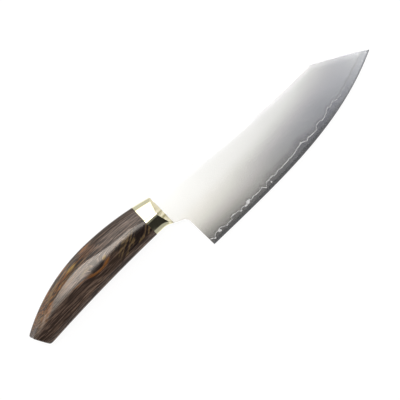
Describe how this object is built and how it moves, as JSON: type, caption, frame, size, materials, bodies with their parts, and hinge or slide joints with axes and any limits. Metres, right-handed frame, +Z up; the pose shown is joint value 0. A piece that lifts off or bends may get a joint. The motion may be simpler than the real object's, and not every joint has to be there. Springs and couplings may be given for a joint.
{
  "type": "santoku knife",
  "caption": "Kitchen knife for slicing and chopping: wide laminated steel blade with a clipped tip and a wavy core line, faceted brass bolster and a curved faceted dark wood handle.",
  "frame": {"origin": "under the middle of the knife's length and height, on the surface it lies on", "axes": "+X from the butt toward the tip, +Y from the cutting edge toward the spine, +Z up through the blade's right side; the knife lies on its left side with the blade level"},
  "size_m": [0.2971, 0.06, 0.0204],
  "materials": {
    "core_steel": "fine satin, darker than the cladding",
    "cladding_steel": "smooth satin",
    "brass": "mirror polished, pale yellow",
    "wood": "dark brown figured grain, clear gloss coat",
    "resin": "cured adhesive resin, hidden"
  },
  "bodies": {
    "root": {"blade_core": "core_steel", "cladding_right": "cladding_steel", "cladding_left": "cladding_steel", "bolster": "brass", "handle": "wood", "tang_bedding": "resin"}
  },
  "joints": []
}
